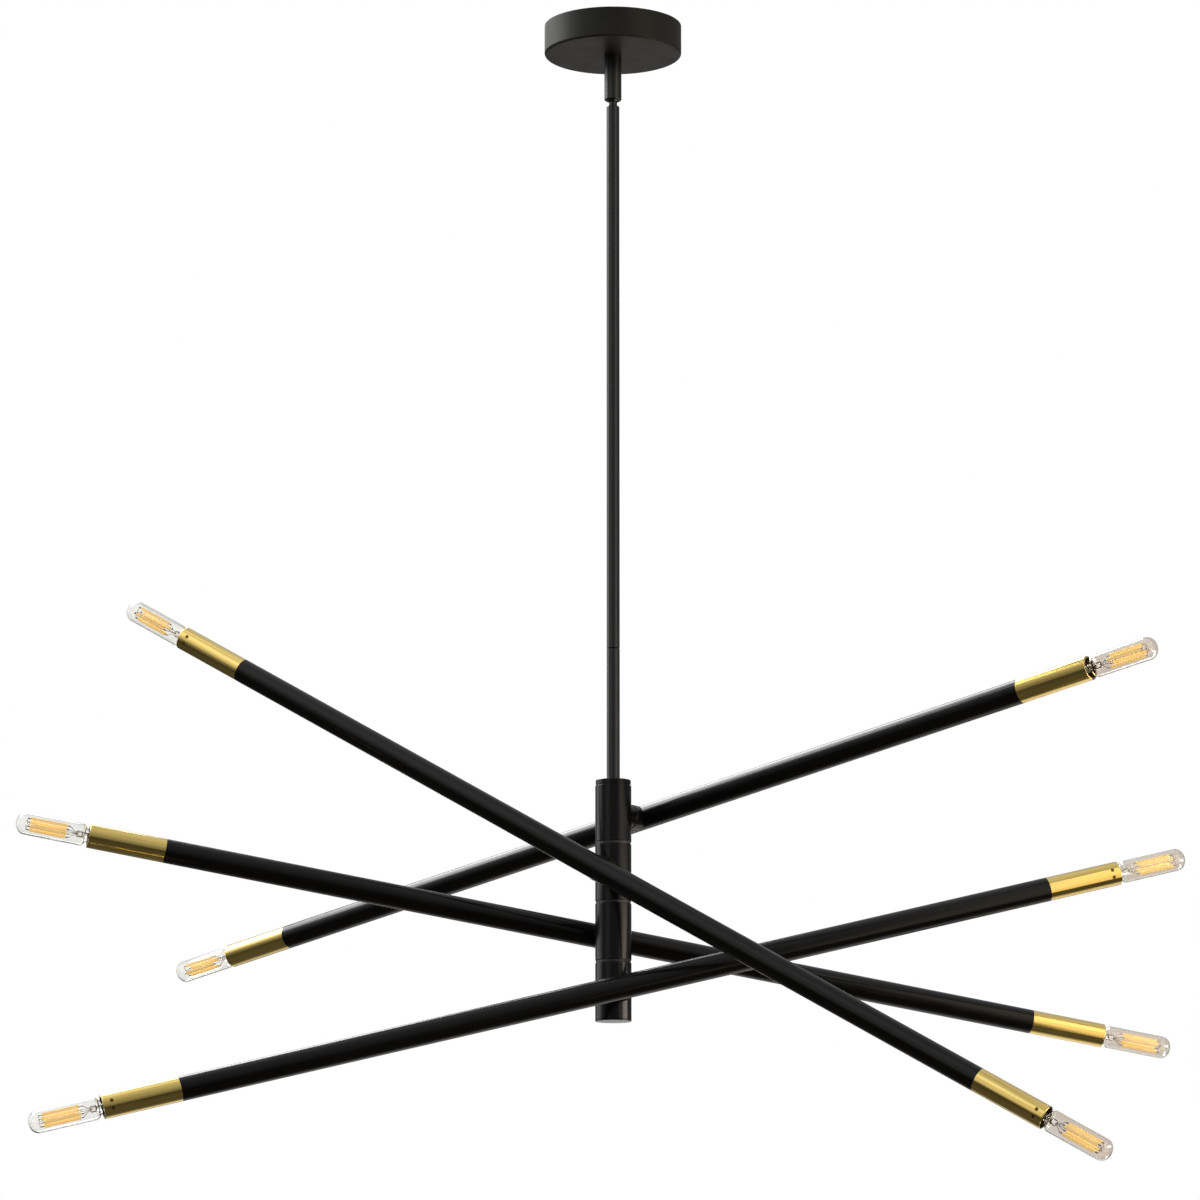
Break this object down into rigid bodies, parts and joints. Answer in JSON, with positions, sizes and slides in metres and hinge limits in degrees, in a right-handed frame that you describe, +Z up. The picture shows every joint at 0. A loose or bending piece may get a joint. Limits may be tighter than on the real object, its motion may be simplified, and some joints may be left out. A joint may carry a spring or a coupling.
{
  "type": "ceiling light",
  "caption": "Ceiling light with long tube arms on side pivots of a turning column, hung on a swivel stem, with a tubular bulb in a brass sleeve at each arm end.",
  "frame": {"origin": "centre of the mounting strap's top face, on the ceiling plane", "axes": "+Z up into the ceiling, along the column; +X along the strap's two box slots"},
  "size_m": [1.0637, 0.6054, 1.0738],
  "materials": {
    "black_painted_steel": "satin",
    "polished_brass": "polished",
    "zinc_plated_steel": "zinc plated",
    "green_steel": "satin",
    "moulded_nylon": "matte",
    "moulded_connector": "matte",
    "cable_jacket": "satin",
    "lampholder_plastic": "matte",
    "clear_glass": "clear",
    "bulb_metal": "satin"
  },
  "bodies": {
    "canopy": {"mounting_strap": "zinc_plated_steel", "canopy": "black_painted_steel", "ground_screw": "green_steel", "nipple_nuts": "zinc_plated_steel", "canopy_nipple": "zinc_plated_steel", "supply_leads": "cable_jacket", "wire_connectors": "moulded_connector", "swivel_barrel": "black_painted_steel", "swivel_plug": "zinc_plated_steel"},
    "swivel_seat": {"swivel_liner": "moulded_nylon"},
    "stem": {"swivel_ball": "black_painted_steel", "stem_upper": "black_painted_steel", "stem_coupler": "zinc_plated_steel", "stem_lower": "black_painted_steel", "stem_leads": "cable_jacket", "core_tube": "zinc_plated_steel", "column_spring": "zinc_plated_steel", "column_cap": "black_painted_steel", "spacer_rings": "moulded_nylon", "base_plate": "black_painted_steel"},
    "hub_1": {"hub_1": "black_painted_steel"},
    "arm_1": {"arm_1_knuckle": "black_painted_steel", "arm_1_pivot_hardware": "zinc_plated_steel", "arm_1_tube": "black_painted_steel", "arm_1_sleeves": "polished_brass", "arm_1_lampholders": "lampholder_plastic"},
    "bulb_1_right": {"bulb_1_right_glass": "clear_glass", "bulb_1_right_core": "bulb_metal"},
    "bulb_1_left": {"bulb_1_left_glass": "clear_glass", "bulb_1_left_core": "bulb_metal"},
    "hub_2": {"hub_2": "black_painted_steel"},
    "arm_2": {"arm_2_knuckle": "black_painted_steel", "arm_2_pivot_hardware": "zinc_plated_steel", "arm_2_tube": "black_painted_steel", "arm_2_sleeves": "polished_brass", "arm_2_lampholders": "lampholder_plastic"},
    "bulb_2_right": {"bulb_2_right_glass": "clear_glass", "bulb_2_right_core": "bulb_metal"},
    "bulb_2_left": {"bulb_2_left_glass": "clear_glass", "bulb_2_left_core": "bulb_metal"},
    "hub_3": {"hub_3": "black_painted_steel"},
    "arm_3": {"arm_3_knuckle": "black_painted_steel", "arm_3_pivot_hardware": "zinc_plated_steel", "arm_3_tube": "black_painted_steel", "arm_3_sleeves": "polished_brass", "arm_3_lampholders": "lampholder_plastic"},
    "bulb_3_right": {"bulb_3_right_glass": "clear_glass", "bulb_3_right_core": "bulb_metal"},
    "bulb_3_left": {"bulb_3_left_glass": "clear_glass", "bulb_3_left_core": "bulb_metal"},
    "hub_4": {"hub_4": "black_painted_steel"},
    "arm_4": {"arm_4_knuckle": "black_painted_steel", "arm_4_pivot_hardware": "zinc_plated_steel", "arm_4_tube": "black_painted_steel", "arm_4_sleeves": "polished_brass", "arm_4_lampholders": "lampholder_plastic"},
    "bulb_4_right": {"bulb_4_right_glass": "clear_glass", "bulb_4_right_core": "bulb_metal"},
    "bulb_4_left": {"bulb_4_left_glass": "clear_glass", "bulb_4_left_core": "bulb_metal"}
  },
  "joints": [
    {"name": "swivel_tilt_x", "type": "hinge", "parent": "canopy", "child": "swivel_seat", "pos_m": [0, 0, -0.0698], "axis": [1, 0, 0], "range_deg": [-18, 18]},
    {"name": "swivel_tilt_y", "type": "hinge", "parent": "swivel_seat", "child": "stem", "pos_m": [0, 0, -0.0698], "axis": [0, 1, 0], "range_deg": [-18, 18]},
    {"name": "hub_1_turn", "type": "hinge", "parent": "stem", "child": "hub_1", "pos_m": [0, 0, -0.7445], "axis": [0, 0, 1], "range_deg": [-120, 38]},
    {"name": "arm_1_tilt", "type": "hinge", "parent": "hub_1", "child": "arm_1", "pos_m": [0.02336, 0.0349, -0.7445], "axis": [-0.5563, -0.831, 0], "range_deg": [-40, 45]},
    {"name": "bulb_1_right_unscrew", "type": "slide", "parent": "arm_1", "child": "bulb_1_right", "axis": [0.814, -0.5449, 0.2011], "range_m": [0, 0.04]},
    {"name": "bulb_1_left_unscrew", "type": "slide", "parent": "arm_1", "child": "bulb_1_left", "axis": [-0.814, 0.5449, -0.2011], "range_m": [0, 0.04]},
    {"name": "hub_2_turn", "type": "hinge", "parent": "stem", "child": "hub_2", "pos_m": [0, 0, -0.7985], "axis": [0, 0, 1], "range_deg": [-45, 20]},
    {"name": "arm_2_tilt", "type": "hinge", "parent": "hub_2", "child": "arm_2", "pos_m": [-0.01553, -0.03902, -0.7985], "axis": [-0.3697, -0.9291, 0], "range_deg": [-30, 30]},
    {"name": "bulb_2_right_unscrew", "type": "slide", "parent": "arm_2", "child": "bulb_2_right", "axis": [0.8079, -0.3215, -0.4939], "range_m": [0, 0.04]},
    {"name": "bulb_2_left_unscrew", "type": "slide", "parent": "arm_2", "child": "bulb_2_left", "axis": [-0.8079, 0.3215, 0.4939], "range_m": [0, 0.04]},
    {"name": "hub_3_turn", "type": "hinge", "parent": "stem", "child": "hub_3", "pos_m": [0, 0, -0.8525], "axis": [0, 0, 1], "range_deg": [-20, 120]},
    {"name": "arm_3_tilt", "type": "hinge", "parent": "hub_3", "child": "arm_3", "pos_m": [-0.00844, 0.04114, -0.8525], "axis": [0.2011, -0.9796, 0], "range_deg": [-25, 45]},
    {"name": "bulb_3_right_unscrew", "type": "slide", "parent": "arm_3", "child": "bulb_3_right", "axis": [0.9656, 0.1982, -0.1685], "range_m": [0, 0.04]},
    {"name": "bulb_3_left_unscrew", "type": "slide", "parent": "arm_3", "child": "bulb_3_left", "axis": [-0.9656, -0.1982, 0.1685], "range_m": [0, 0.04]},
    {"name": "hub_4_turn", "type": "hinge", "parent": "stem", "child": "hub_4", "pos_m": [0, 0, -0.9065], "axis": [0, 0, 1], "range_deg": [-20, 20]},
    {"name": "arm_4_tilt", "type": "hinge", "parent": "hub_4", "child": "arm_4", "pos_m": [0.00888, -0.04105, -0.9065], "axis": [0.2113, -0.9774, 0], "range_deg": [-40, 38]},
    {"name": "bulb_4_right_unscrew", "type": "slide", "parent": "arm_4", "child": "bulb_4_right", "axis": [0.9488, 0.2051, 0.2402], "range_m": [0, 0.04]},
    {"name": "bulb_4_left_unscrew", "type": "slide", "parent": "arm_4", "child": "bulb_4_left", "axis": [-0.9488, -0.2051, -0.2402], "range_m": [0, 0.04]}
  ]
}
